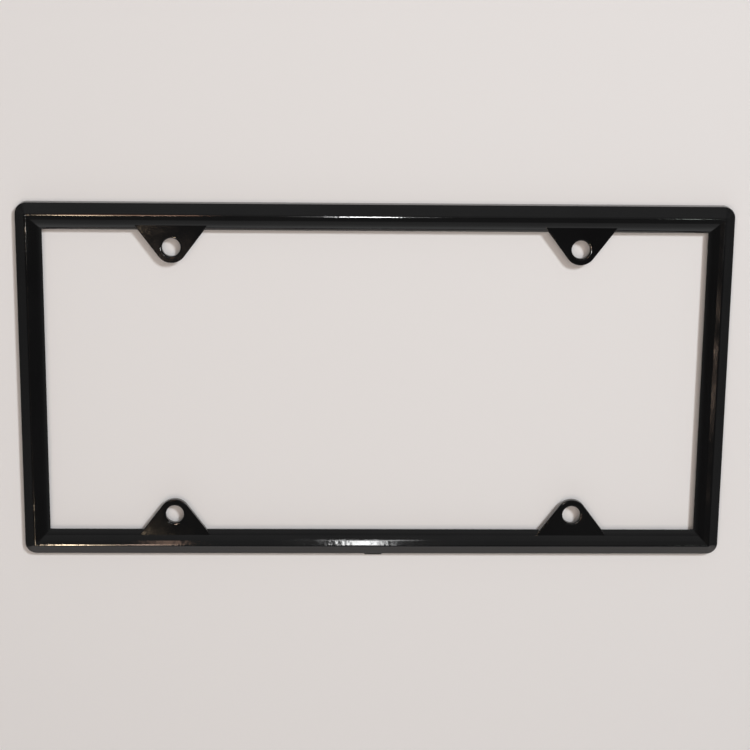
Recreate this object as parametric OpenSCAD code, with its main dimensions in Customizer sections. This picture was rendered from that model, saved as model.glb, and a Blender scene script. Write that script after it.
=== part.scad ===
// Number plate frame, one injection-moulded piece of glossy black plastic.
// It lies face up: the foot of its rim stands on z = 0, +Y is the plate's top edge,
// and the origin is the middle of the rim's outline.
// A rail's section is drawn with x going inward from the outer edge and y going up.

/* [Plate] */
// Length of the number plate that the frame holds
plate_l = 304.8; // [280:0.1:340]
// Height of the number plate
plate_h = 152.4; // [148:0.1:180]
// Space between the plate and the rim at each end
gap_ends = 1.4; // [0.4:0.1:2.4]
// Space between the plate and the rim above and below
gap_sides = 0.8; // [0.4:0.1:2]
// Spacing of the screw holes along the plate
screw_pitch_l = 177.8; // [120:0.1:220]
// Distance of the screw holes from the plate's long edges
screw_edge = 15.875; // [15.2:0.025:17.2]

/* [Rail section] */
// Depth of the frame, from the rim's foot to the crest
depth = 7.3; // [7:0.1:8.4]
// Wall of the rim beside the plate
rim_wall = 2.4; // [1.8:0.1:2.8]
// Height of the rim's outer face, below the bevel
rim_h = 3.8; // [3.4:0.1:4.2]
// Radius between that face and the bevel
shoulder_r = 0.5; // [0.2:0.1:0.9]
// Distance from the outer edge to the crest, and radius of the frame's outer corners
crest_in = 5.1; // [4.8:0.1:5.6]
// Radius of the crest
crest_r = 1.2; // [0.8:0.1:1.8]
// Width of the land, from the crest to the crease
land_w = 2.0; // [1.6:0.1:2.6]
// Slope of the land inside the crest, in degrees
land_slope = 12; // [10:0.5:14]
// Width of the inner bevel, from the crease to the window
inner_bevel_w = 4.5; // [4:0.1:5]
// How far the inner bevel bulges above a flat face
inner_bevel_bulge = 0.36; // [0.1:0.01:0.44]
// Thickness of the lip's edge at the window
lip_t = 0.55; // [0.4:0.05:0.9]
// Draft of the moulded walls, in degrees
draft = 2; // [0.5:0.5:3]

/* [Hollow back] */
// Height of the seat on the plate's face above the rim's foot
seat_z = 3.4; // [2.8:0.1:3.6]
// Width of the seat beside the rim's wall, outside the groove
seat_ledge = 0.6; // [0.4:0.1:0.9]
// Wall between the front surface and the groove in the back
wall = 1.7; // [1.4:0.1:1.9]
// Thickness of the inner leg, which presses on the plate
leg_t = 2.1; // [1.8:0.1:2.4]
// Radius of the groove's top corners
groove_r = 0.4; // [0.2:0.1:0.5]

/* [Screw tabs] */
// Thickness of the tabs
tab_t = 2.4; // [1.8:0.1:2.5]
// Radius of a tab's tip, round its hole
tab_tip_r = 6.9; // [6.2:0.1:7.6]
// Angle between a tab's side and its middle line, in degrees
tab_side_angle = 37; // [30:1:42]
// Radius along the front edge of a tab
tab_edge_r = 0.5; // [0.2:0.1:0.9]
// Diameter of the screw holes
hole_d = 7.94; // [6.5:0.01:8.5]
// Radius of the rounded mouth of the holes
hole_mouth_r = 0.8; // [0.4:0.1:1.1]

/* [Gate stub] */
// Width of the cut-off gate on the lower edge
gate_w = 9; // [6:0.5:14]
// How far the stub stands out from the edge
gate_out = 1.0; // [0.4:0.1:1.4]
// Height of the stub above the rim's foot
gate_h = 1.6; // [0.8:0.1:2.2]
// Slant at each end of the stub
gate_slant = 0.8; // [0.3:0.1:1.2]

/* [Hidden] */
$fn = 96;

moulded_black = [0.05, 0.05, 0.055];

// Overlap of pieces that join, and reach of a cut past the surface it opens
bite = 0.5;

// Angle at which a round crosses the faces beside it, so that the two always meet
kink = 4;

frame_l = plate_l + 2 * (gap_ends + rim_wall);
frame_h = plate_h + 2 * (gap_sides + rim_wall);
crest_l = frame_l - 2 * crest_in;
crest_h = frame_h - 2 * crest_in;
screw_pitch_h = plate_h - 2 * screw_edge;
crease_in = crest_in + land_w;
rail_w = crease_in + inner_bevel_w;
tab_z = seat_z + tab_t;

// Reach of a tab from its hole back into the rail
tab_reach = (frame_h - screw_pitch_h) / 2 - crease_in + bite;

// Front of the section: the bevel runs from the shoulder to the crest's round
shoulder = [rim_h * tan(draft), rim_h];
crest_mid = [crest_in, depth - crest_r * cos(kink)];
to_crest = crest_mid - shoulder;
bevel_slope = atan2(to_crest.y, to_crest.x) + asin(crest_r * cos(kink) / norm(to_crest));
crest_start = meet(on_bevel(crest_r), bevel_slope, [0, depth], 0);
crest_end = meet(on_land(crest_r), -land_slope, [0, depth], 0);
crease = [crease_in, land_z(crest_r, crease_in)];
lip = [rail_w, seat_z + lip_t];

// Arc of the inner bevel, through the crease and the lip
bevel_chord = norm(lip - crease);
bevel_arc_r = bevel_chord * bevel_chord / (8 * inner_bevel_bulge) + inner_bevel_bulge / 2;
bevel_arc_mid = (crease + lip) / 2
    + (bevel_arc_r - inner_bevel_bulge) * [lip.y - crease.y, crease.x - lip.x] / bevel_chord;

// Groove in the back: the same bevel and land, one wall further in, with a level strip
// below the crest
groove_out = rim_wall + seat_ledge;
groove_in = rail_w - leg_t;
groove_offset = crest_r - wall;
groove_out_z = bevel_z(groove_offset, groove_out);
groove_top_x = crest_in - groove_r;
groove_top_z = bevel_z(groove_offset, groove_top_x);
groove_top_end = meet(on_land(groove_offset), -land_slope, [0, groove_top_z], 0);

// Where two lines meet, each given by a point and a slope in degrees
function meet(p, p_slope, q, q_slope) =
    let (d = [cos(p_slope), sin(p_slope)], n = [-sin(q_slope), cos(q_slope)])
    p + d * ((q - p) * n) / (d * n);

// The bevel and the land that pass the centre of the crest's round at a distance, and their
// heights at x. A distance below 0 passes the centre on its back.
function on_bevel(r) = crest_mid + r * cos(kink) * [-sin(bevel_slope), cos(bevel_slope)];
function on_land(r) = crest_mid + r * cos(kink) * [sin(land_slope), cos(land_slope)];
function bevel_z(r, x) = on_bevel(r).y + (x - on_bevel(r).x) * tan(bevel_slope);
function land_z(r, x) = on_land(r).y - (x - on_land(r).x) * tan(land_slope);

// Outlines run clockwise and their points are [x, y, radius]
function flat(p) = [p.x, p.y];
function heading(p, q) = (flat(q) - flat(p)) / norm(flat(q) - flat(p));
function inward(p, q) = [heading(p, q).y, -heading(p, q).x];
// How far a corner moves when both its sides move inward by 1
function corner_shift(p, v, q) =
    let (n = inward(p, v), m = inward(v, q))
    (n + m) / (1 + n * m);

// What a round takes off a corner v between its neighbours p and q
module corner_waste(p, v, q) {
    clear = v.z * cos(kink);
    mid = flat(v) + clear * corner_shift(p, v, q);
    difference() {
        polygon([
            mid,
            mid - (clear + bite) * inward(p, v),
            flat(v) - bite * corner_shift(p, v, q),
            mid - (clear + bite) * inward(v, q)
        ]);
        translate(mid)
            circle(r = v.z);
    }
}

module rounded_outline(points) {
    count = len(points);
    difference() {
        polygon([for (p = points) flat(p)]);
        for (i = [0 : count - 1])
            if (points[i].z > 0)
                corner_waste(points[(i + count - 1) % count], points[i], points[(i + 1) % count]);
    }
}

module front_section() {
    difference() {
        rounded_outline([
            [0, 0, 0],
            [shoulder.x, shoulder.y, shoulder_r],
            [crest_start.x, depth, crest_r],
            [crest_end.x, depth, crest_r],
            [rail_w, land_z(crest_r, rail_w), 0],
            [rail_w, 0, 0]
        ]);
        inner_bevel_waste();
    }
}

// What the bulging inner bevel takes off the end of the land
module inner_bevel_waste() {
    difference() {
        translate([crease_in - bite, 0])
            square([inner_bevel_w + 2 * bite, depth]);
        translate(bevel_arc_mid)
            circle(r = bevel_arc_r);
    }
}

module pocket_section() {
    polygon([
        [rim_wall - (seat_z + bite) * tan(draft), -bite],
        [rim_wall, seat_z],
        [rail_w + bite, seat_z],
        [rail_w + bite, -bite]
    ]);
}

module groove_section() {
    rounded_outline([
        [groove_out, seat_z - bite, 0],
        [groove_out, groove_out_z, 0],
        [groove_top_x, groove_top_z, groove_r],
        [groove_top_end.x, groove_top_z, 0],
        [groove_in, land_z(groove_offset, groove_in), groove_r],
        [groove_in, seat_z - bite, 0]
    ]);
}

module hollow_section() {
    pocket_section();
    groove_section();
}

// A section along one side of the crest's rectangle, which lies at a distance from its middle.
// The sides run into each other at the corners, where the higher of the two shows.
module side_sweep(run, distance) {
    translate([-run / 2, -distance, 0])
        rotate([90, 0, 90])
            linear_extrude(run)
                translate([-crest_in, 0])
                    children();
}

// The part of a section outside the crest, turned round a corner of the crest's rectangle
module corner_sweep() {
    rotate([0, 0, 180])
        rotate_extrude(angle = 90)
            intersection() {
                mirror([1, 0])
                    translate([-crest_in, 0])
                        children();
                translate([0, -bite])
                    square([crest_in + bite, depth + 2 * bite]);
            }
}

module ring_sweep() {
    for (turn = [0, 180])
        rotate([0, 0, turn]) {
            side_sweep(crest_l, crest_h / 2) children();
            translate([-crest_l / 2, -crest_h / 2, 0])
                corner_sweep() children();
            rotate([0, 0, 90])
                side_sweep(crest_h, crest_l / 2) children();
            translate([crest_l / 2, -crest_h / 2, 0])
                rotate([0, 0, 90])
                    corner_sweep() children();
        }
}

// What rounding takes off a tab's front edge that lies at a distance from the hole
module tab_edge_waste(distance) {
    corner_waste([0, tab_z], [distance, tab_z, tab_edge_r], [distance, seat_z]);
}

// One tab with its hole's centre at the origin and its tip towards +Y
module tab() {
    side_distance = tab_tip_r * cos(kink);
    tip = side_distance / sin(tab_side_angle);
    half = (tip + tab_reach) * tan(tab_side_angle);
    difference() {
        translate([0, 0, seat_z])
            linear_extrude(tab_t)
                rounded_outline([
                    [-half, -tab_reach, 0],
                    [0, tip, tab_tip_r],
                    [half, -tab_reach, 0]
                ]);
        rotate_extrude(angle = 180 - 2 * tab_side_angle, start = tab_side_angle)
            tab_edge_waste(tab_tip_r);
        for (hand = [0, 1])
            mirror([hand, 0, 0])
                rotate([90, 0, tab_side_angle])
                    translate([0, 0, -half])
                        linear_extrude(3 * half)
                            tab_edge_waste(side_distance);
    }
}

// The hole through a tab, with its mouth rounded on the front
module screw_hole() {
    translate([0, 0, seat_z - bite])
        cylinder(d = hole_d, h = tab_t + 2 * bite);
    rotate_extrude()
        translate([0, tab_z - hole_mouth_r])
            difference() {
                square([hole_d / 2 + hole_mouth_r, hole_mouth_r + bite]);
                translate([hole_d / 2 + hole_mouth_r, 0])
                    circle(r = hole_mouth_r);
            }
}

// Puts its children at the four screws, turned so that +Y points into the window
module at_screws() {
    for (end = [-1, 1], turn = [0, 180])
        rotate([0, 0, turn])
            translate([end * screw_pitch_l / 2, -screw_pitch_h / 2, 0])
                children();
}

module gate_stub() {
    translate([0, -frame_h / 2, 0])
        linear_extrude(gate_h)
            polygon([
                [-gate_w / 2, bite],
                [-gate_w / 2, 0],
                [gate_slant - gate_w / 2, -gate_out],
                [gate_w / 2 - gate_slant, -gate_out],
                [gate_w / 2, 0],
                [gate_w / 2, bite]
            ]);
}

module plate_frame() {
    color(moulded_black) {
        difference() {
            union() {
                ring_sweep() front_section();
                at_screws() tab();
            }
            ring_sweep() hollow_section();
            at_screws() screw_hole();
        }
        gate_stub();
    }
}

plate_frame();
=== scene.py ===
import math

import bpy
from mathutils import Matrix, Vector

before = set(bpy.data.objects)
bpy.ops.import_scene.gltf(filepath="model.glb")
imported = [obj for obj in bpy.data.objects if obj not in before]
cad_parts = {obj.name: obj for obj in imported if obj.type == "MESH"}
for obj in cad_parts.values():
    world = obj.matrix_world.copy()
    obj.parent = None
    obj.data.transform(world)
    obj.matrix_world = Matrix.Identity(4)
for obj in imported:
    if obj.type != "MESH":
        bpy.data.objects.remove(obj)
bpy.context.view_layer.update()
scene = bpy.context.scene


# Small helpers for building node materials
noiseLow, noiseHigh = 0.3, 0.7                       # most of a noise lies between these
firstColour, secondColour, mixedColour = 6, 7, 2     # the Mix node's colour sockets


def newMaterial(name):
    material = bpy.data.materials.new(name)
    material.use_nodes = True
    material.node_tree.nodes.clear()
    return material


def addNode(material, kind, **settings):
    node = material.node_tree.nodes.new(kind)
    for key, value in settings.items():
        setattr(node, key, value)
    return node


def link(material, source, target):
    material.node_tree.links.new(source, target)


def noiseNode(material, coords, size, detail):
    # size is the width of one blotch in metres
    noise = addNode(material, "ShaderNodeTexNoise")
    noise.inputs["Scale"].default_value = 1 / size
    noise.inputs["Detail"].default_value = detail
    link(material, coords, noise.inputs["Vector"])
    return noise.outputs["Fac"]


def mapRange(material, value, low, high, newLow, newHigh):
    ramp = addNode(material, "ShaderNodeMapRange")
    ramp.inputs["From Min"].default_value = low
    ramp.inputs["From Max"].default_value = high
    ramp.inputs["To Min"].default_value = newLow
    ramp.inputs["To Max"].default_value = newHigh
    link(material, value, ramp.inputs["Value"])
    return ramp.outputs["Result"]


def bumpNode(material, height, distance):
    bump = addNode(material, "ShaderNodeBump")
    bump.inputs["Distance"].default_value = distance
    link(material, height, bump.inputs["Height"])
    return bump


# The holder: glossy black moulded plastic with a faint orange peel
mouldedBlack = {
    "darkColour": (0.0040, 0.0040, 0.0043, 1.0),
    "lightColour": (0.0062, 0.0062, 0.0065, 1.0),
    "flowMarkSize": 0.035,
    "flowMarkDetail": 3.0,
    "roughnessLow": 0.03,
    "roughnessHigh": 0.07,
    "hazeSize": 0.012,
    "hazeDetail": 4.0,
    "ior": 1.5,
    "peelSize": 0.0016,
    "peelDetail": 1.0,
    "peelHeight": 0.000012,
    "speckSize": 0.0004,
    "speckDetail": 2.0,
    "speckHeight": 0.000002,
}


def makeMouldedBlack(look):
    material = newMaterial("mouldedBlackGloss")
    output = addNode(material, "ShaderNodeOutputMaterial")
    shader = addNode(material, "ShaderNodeBsdfPrincipled")
    shader.inputs["IOR"].default_value = look["ior"]
    coords = addNode(material, "ShaderNodeTexCoord").outputs["Object"]

    flowMarks = noiseNode(material, coords, look["flowMarkSize"], look["flowMarkDetail"])
    share = mapRange(material, flowMarks, noiseLow, noiseHigh, 0.0, 1.0)
    colour = addNode(material, "ShaderNodeMix", data_type="RGBA")
    link(material, share, colour.inputs["Factor"])
    colour.inputs[firstColour].default_value = look["darkColour"]
    colour.inputs[secondColour].default_value = look["lightColour"]
    link(material, colour.outputs[mixedColour], shader.inputs["Base Color"])

    haze = noiseNode(material, coords, look["hazeSize"], look["hazeDetail"])
    roughness = mapRange(material, haze, noiseLow, noiseHigh,
                         look["roughnessLow"], look["roughnessHigh"])
    link(material, roughness, shader.inputs["Roughness"])

    peel = noiseNode(material, coords, look["peelSize"], look["peelDetail"])
    specks = noiseNode(material, coords, look["speckSize"], look["speckDetail"])
    peelBump = bumpNode(material, peel, look["peelHeight"])
    speckBump = bumpNode(material, specks, look["speckHeight"])
    link(material, peelBump.outputs["Normal"], speckBump.inputs["Normal"])
    link(material, speckBump.outputs["Normal"], shader.inputs["Normal"])
    link(material, shader.outputs["BSDF"], output.inputs["Surface"])
    return material


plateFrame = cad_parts["plate_frame"]
plateFrame.material_slots[0].material = makeMouldedBlack(mouldedBlack)
print("holder finished in moulded black")


# The tabletop it lies on
tabletop = {
    "width": 6.0,
    "colour": (0.86, 0.84, 0.84, 1.0),
    "roughness": 0.7,
}


def makeTabletop(look):
    material = newMaterial("paleTabletop")
    output = addNode(material, "ShaderNodeOutputMaterial")
    shader = addNode(material, "ShaderNodeBsdfPrincipled")
    shader.inputs["Base Color"].default_value = look["colour"]
    shader.inputs["Roughness"].default_value = look["roughness"]
    link(material, shader.outputs["BSDF"], output.inputs["Surface"])
    half = look["width"] / 2
    mesh = bpy.data.meshes.new("tabletop")
    corners = [(-half, -half, 0), (half, -half, 0), (half, half, 0), (-half, half, 0)]
    mesh.from_pydata(corners, [], [(0, 1, 2, 3)])
    mesh.materials.append(material)
    table = bpy.data.objects.new("tabletop", mesh)
    scene.collection.objects.link(table)


makeTabletop(tabletop)
print("tabletop laid")


# The camera hangs over the table, beyond the holder's top edge, and looks down at it
lookDown = {
    "place": (-0.0257, 0.1988, 0.8190),
    "turn": (-13.48, -1.65, 0.63),
    "focalPixels": 1900,
    "framePixels": 750,
    "filmWidth": 36,
    "clipStart": 0.01,
}


def makeCamera(view):
    data = bpy.data.cameras.new("lookDown")
    data.sensor_fit = "HORIZONTAL"
    data.sensor_width = view["filmWidth"]
    data.lens = view["focalPixels"] * view["filmWidth"] / view["framePixels"]
    data.clip_start = view["clipStart"]
    camera = bpy.data.objects.new("lookDown", data)
    camera.location = view["place"]
    camera.rotation_euler = [math.radians(angle) for angle in view["turn"]]
    scene.collection.objects.link(camera)
    scene.camera = camera


makeCamera(lookDown)
print("camera placed")


# Studio light: a cool key at the upper right and a soft warm box overhead. Both are left out
# of the gloss, where the flat tabs and the lands stay black.
studioLamps = {
    "key": {
        "place": (0.92, 1.08, 2.00),
        "width": 0.34,
        "power": 29,
        "colour": (0.92, 0.97, 1.0),
    },
    "softBox": {
        "place": (0.0, 0.1, 1.2),
        "width": 1.1,
        "power": 6.8,
        "colour": (1.0, 0.87, 0.77),
    },
}

# Bright panels that face down, seen only as mirror images in the gloss: the crest, the land
# and the crease of the long rails each show their own
panelHeight = 1.5
glintPanels = {
    # name: left, right, near and far edge in metres, brightness, colour
    "coolCrest": (0.004, 0.068, -0.20, -0.12, 118, (1.0, 1.0, 1.0)),        # on the top rail
    "coolCrestEnds": (-0.045, 0.115, -0.20, -0.12, 3, (1.0, 1.0, 1.0)),
    "coolLand": (0.009, 0.053, 0.045, 0.105, 29, (1.0, 1.0, 1.0)),          # on the lower rail
    "coolCrease": (-0.012, 0.095, 0.645, 0.70, 9, (1.0, 1.0, 1.0)),
    "coolCorner": (0.42, 0.45, -0.20, -0.12, 8, (0.9, 1.0, 0.9)),           # at the top right
    "warmCrest": (-0.366, -0.275, -0.20, -0.12, 20, (1.0, 0.77, 0.53)),     # on the top rail
    "warmTail": (-0.345, -0.170, 0.26, 0.45, 10, (1.0, 0.55, 0.36)),
    "warmCrestLow": (-0.361, -0.322, -0.64, -0.52, 145, (1.0, 0.77, 0.53)),   # on the lower rail
    "warmCrestFade": (-0.322, -0.280, -0.64, -0.52, 30, (1.0, 0.77, 0.53)),
    "warmRound": (-0.265, -0.202, -0.40, -0.26, 105, (1.0, 0.72, 0.56)),
    "warmLand": (-0.225, -0.193, 0.045, 0.105, 3.6, (1.0, 0.66, 0.50)),
    "ceilingGlow": (-0.50, 0.60, 0.00, 1.20, 0.17, (1.0, 1.0, 1.0)),        # on all the bevels
}


def makeAreaLight(name, place, width, length, power, colour):
    data = bpy.data.lights.new(name, "AREA")
    data.shape = "RECTANGLE"
    data.size = width
    data.size_y = length
    data.energy = power
    data.color = colour
    light = bpy.data.objects.new(name, data)
    light.location = place
    scene.collection.objects.link(light)
    return light


def makeLamp(name, look):
    lamp = makeAreaLight(name, look["place"], look["width"], look["width"],
                         look["power"], look["colour"])
    aim = -Vector(look["place"])
    lamp.rotation_euler = aim.to_track_quat("-Z", "Y").to_euler()
    lamp.visible_glossy = False


def makePanel(name, left, right, near, far, brightness, colour):
    width = right - left
    length = far - near
    place = ((left + right) / 2, (near + far) / 2, panelHeight)
    power = brightness * math.pi * width * length
    panel = makeAreaLight(name, place, width, length, power, colour)
    panel.visible_diffuse = False


for lampName, lampLook in studioLamps.items():
    makeLamp(lampName, lampLook)
for panelName, panelLook in glintPanels.items():
    makePanel(panelName, *panelLook)
print("lamps and panels hung")


# The room round it. Each side has its light by the height of the direction, from 0 at the
# horizon to 1 overhead: the walls at both ends, the wall beyond the top edge, and the pale
# surface that runs on below the lower edge.
roomLight = {
    "ends": [(0.0, 0.13), (0.10, 0.15), (0.20, 0.22), (0.40, 0.08), (0.60, 0.04), (1.0, 0.03)],
    "beyond": [(0.0, 0.14), (0.20, 0.24), (0.40, 0.30), (0.60, 0.22), (0.85, 0.10), (1.0, 0.03)],
    "before": [(0.0, 0.75), (0.20, 0.75), (0.40, 0.55), (0.65, 0.22), (0.85, 0.08), (1.0, 0.03)],
    # where one side turns into the next, as the sine of the direction round the vertical
    "turnStart": 0.70,
    "turnEnd": 0.95,
}


def heightRamp(world, height, steps):
    ramp = addNode(world, "ShaderNodeValToRGB")
    elements = ramp.color_ramp.elements
    while len(elements) < len(steps):
        elements.new(0.5)
    for element, (place, level) in zip(elements, steps):
        element.position = place
        element.color = (level, level, level, 1.0)
    link(world, height, ramp.inputs["Fac"])
    return ramp.outputs["Color"]


def makeRoom(look):
    world = bpy.data.worlds.new("room")
    world.use_nodes = True
    world.node_tree.nodes.clear()
    coords = addNode(world, "ShaderNodeTexCoord").outputs["Generated"]
    split = addNode(world, "ShaderNodeSeparateXYZ")
    link(world, coords, split.inputs["Vector"])
    height = split.outputs["Z"]

    # the direction without its height, so that Y is that sine
    level = addNode(world, "ShaderNodeCombineXYZ")
    link(world, split.outputs["X"], level.inputs["X"])
    link(world, split.outputs["Y"], level.inputs["Y"])
    around = addNode(world, "ShaderNodeVectorMath", operation="NORMALIZE")
    link(world, level.outputs["Vector"], around.inputs[0])
    turn = addNode(world, "ShaderNodeSeparateXYZ")
    link(world, around.outputs["Vector"], turn.inputs["Vector"])

    light = heightRamp(world, height, look["ends"])
    for side, hand in (("beyond", 1), ("before", -1)):
        share = mapRange(world, turn.outputs["Y"],
                         hand * look["turnStart"], hand * look["turnEnd"], 0.0, 1.0)
        mix = addNode(world, "ShaderNodeMix", data_type="RGBA")
        link(world, share, mix.inputs["Factor"])
        link(world, light, mix.inputs[firstColour])
        link(world, heightRamp(world, height, look[side]), mix.inputs[secondColour])
        light = mix.outputs[mixedColour]

    background = addNode(world, "ShaderNodeBackground")
    link(world, light, background.inputs["Color"])
    output = addNode(world, "ShaderNodeOutputWorld")
    link(world, background.outputs["Background"], output.inputs["Surface"])
    scene.world = world


makeRoom(roomLight)
scene.view_settings.view_transform = "Standard"
print("room in place")
